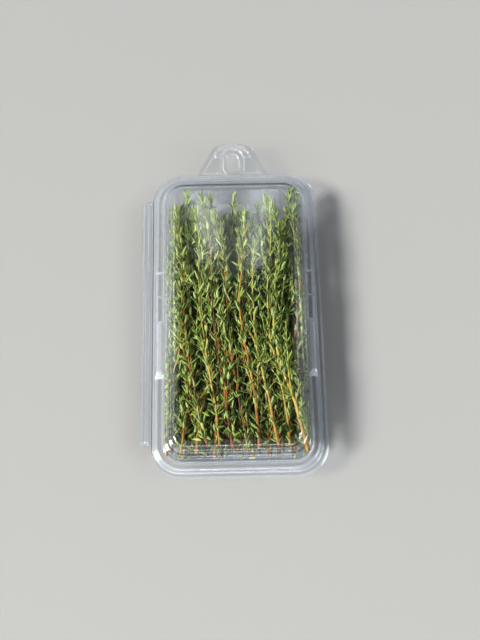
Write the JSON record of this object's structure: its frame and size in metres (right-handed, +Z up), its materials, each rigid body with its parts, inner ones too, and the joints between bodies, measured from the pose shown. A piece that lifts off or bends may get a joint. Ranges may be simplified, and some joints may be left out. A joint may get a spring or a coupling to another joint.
{
  "type": "bunch of thyme",
  "caption": "Bunch of fresh cut thyme sprigs lying flat in a clear hinged plastic pack with a stepped lid and a hang tab.",
  "frame": {"origin": "middle of the underside of the tray's floor, on the surface that the pack lies on", "axes": "+X from the hinge towards the opening edge, +Y from the cut stem ends towards the growing tips and the hang tab, +Z up"},
  "size_m": [0.1069, 0.2098, 0.0303],
  "materials": {
    "clear_plastic": "clear glossy thermoformed sheet",
    "thyme": "fresh green leaves on yellow-brown and red-brown stems"
  },
  "bodies": {
    "tray": {"tray": "clear_plastic", "hinge_fold": "clear_plastic", "sprig_01": "thyme", "sprig_02": "thyme", "sprig_03": "thyme", "sprig_04": "thyme", "sprig_05": "thyme", "sprig_06": "thyme", "sprig_07": "thyme", "sprig_08": "thyme", "sprig_09": "thyme", "sprig_10": "thyme", "sprig_11": "thyme", "sprig_12": "thyme", "sprig_13": "thyme", "sprig_14": "thyme", "sprig_15": "thyme", "sprig_16": "thyme", "sprig_17": "thyme", "sprig_18": "thyme", "sprig_19": "thyme", "sprig_20": "thyme", "sprig_21": "thyme", "sprig_22": "thyme", "sprig_23": "thyme", "sprig_24": "thyme", "sprig_25": "thyme", "sprig_26": "thyme", "sprig_27": "thyme", "sprig_28": "thyme", "sprig_29": "thyme", "sprig_30": "thyme", "sprig_31": "thyme", "sprig_32": "thyme", "sprig_33": "thyme", "sprig_34": "thyme", "sprig_35": "thyme", "sprig_36": "thyme", "sprig_37": "thyme", "sprig_38": "thyme", "sprig_39": "thyme", "sprig_40": "thyme", "sprig_41": "thyme", "sprig_42": "thyme", "sprig_43": "thyme", "sprig_44": "thyme", "sprig_45": "thyme", "sprig_46": "thyme", "sprig_47": "thyme", "sprig_48": "thyme"},
    "lid": {"lid": "clear_plastic"}
  },
  "joints": [
    {"name": "lid_hinge", "type": "hinge", "parent": "tray", "child": "lid", "pos_m": [-0.05525, 0, 0.01265], "axis": [0, -1, 0], "range_deg": [0, 165]}
  ]
}
